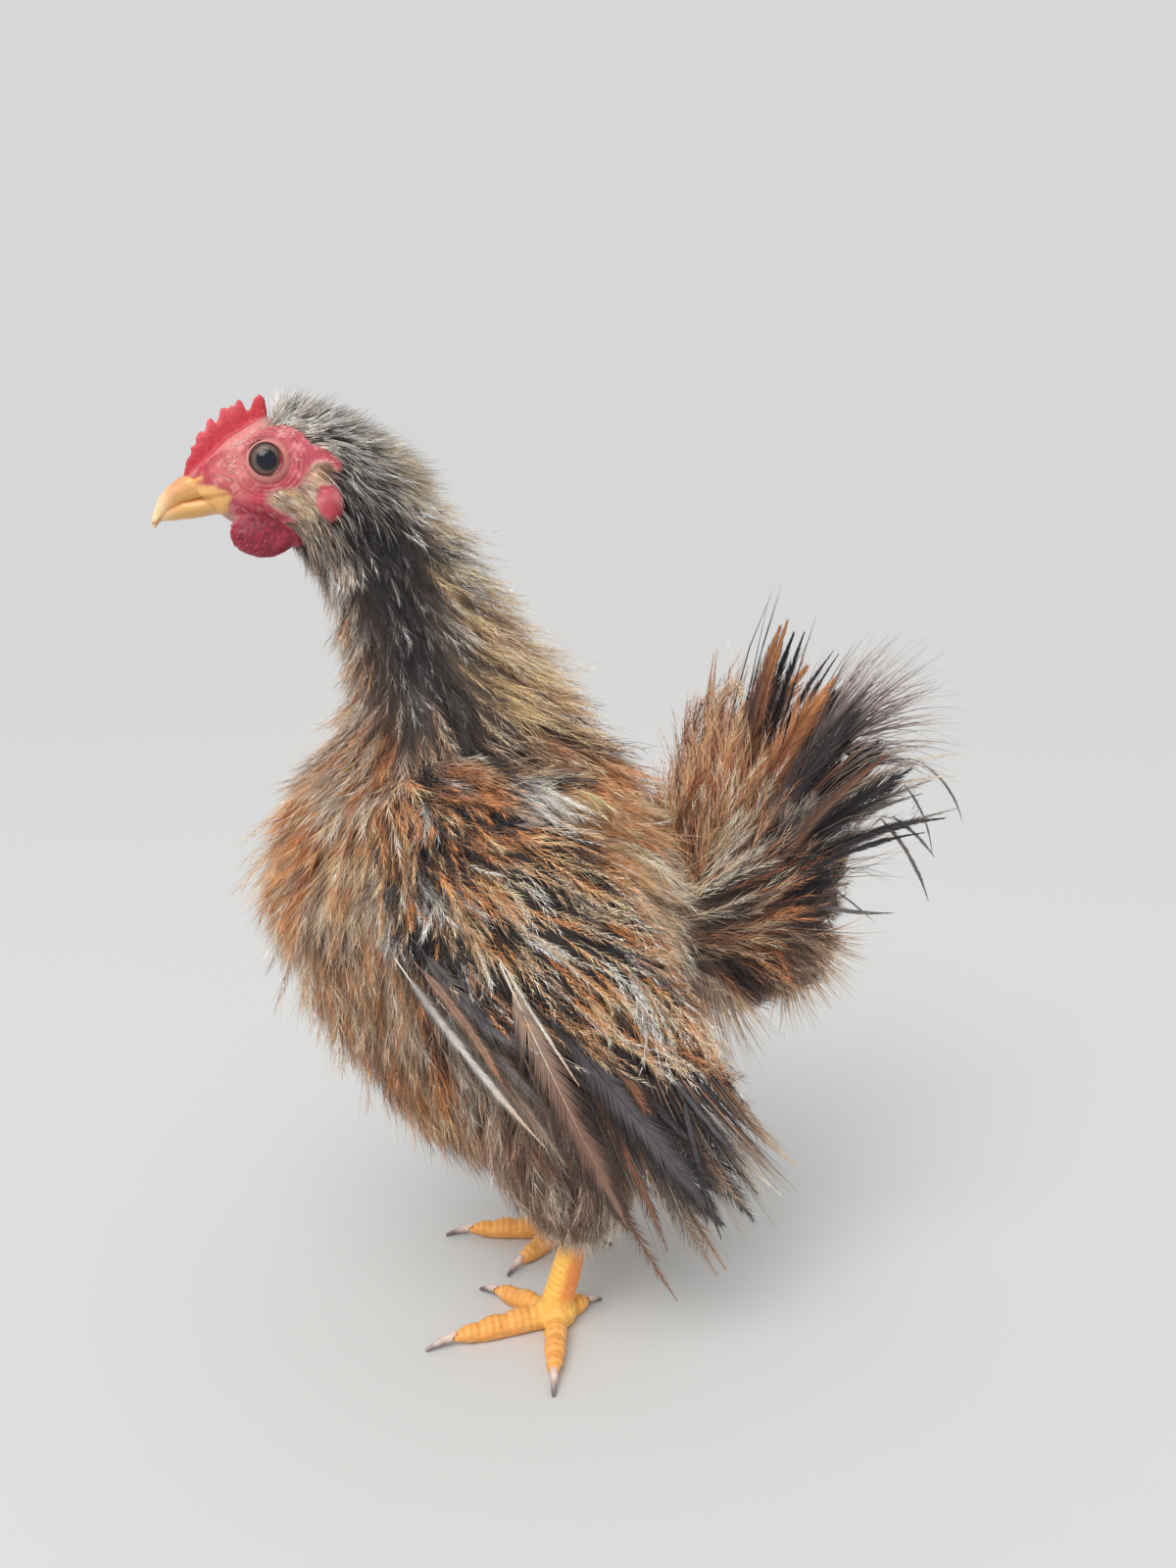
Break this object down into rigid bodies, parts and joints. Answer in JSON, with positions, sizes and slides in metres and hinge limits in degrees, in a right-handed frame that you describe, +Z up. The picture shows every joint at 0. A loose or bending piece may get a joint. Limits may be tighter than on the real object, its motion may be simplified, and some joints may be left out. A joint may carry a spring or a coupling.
{
  "type": "serama chicken",
  "caption": "Young serama cockerel standing upright with its wings hung down, its tail raised and a small red comb, in ragged buff and dark feathers.",
  "frame": {"origin": "on the floor under the middle of the bird's length and width", "axes": "+Z up from the floor; the bird faces -X, and its left side is towards -Y"},
  "size_m": [0.2066, 0.0962, 0.233],
  "materials": {
    "skin": "bare wrinkled red skin with a soft sheen",
    "plumage": "loose matte feathers, buff to chestnut over grey down",
    "flight_feather": "dark and chestnut vanes with pale quills, satin",
    "eye": "wet and clear over a dark pupil",
    "bill": "smooth yellow horn",
    "leg": "yellow and orange scales",
    "claw": "smooth pale grey horn"
  },
  "bodies": {
    "root": {"head": "skin", "neck": "plumage", "trunk": "plumage", "tail": "flight_feather", "comb": "skin", "wattle_left": "skin", "wattle_right": "skin", "earlobe_left": "skin", "earlobe_right": "skin", "eye_left": "eye", "eye_right": "eye", "bill_upper": "bill", "bill_lower": "bill", "wing_left": "flight_feather", "wing_right": "flight_feather", "thigh_left": "plumage", "thigh_right": "plumage", "shank_left": "leg", "shank_right": "leg", "foot_left": "leg", "foot_right": "leg", "claw_left_inner": "claw", "claw_left_middle": "claw", "claw_left_outer": "claw", "claw_left_hallux": "claw", "claw_right_inner": "claw", "claw_right_middle": "claw", "claw_right_outer": "claw", "claw_right_hallux": "claw"}
  },
  "joints": []
}
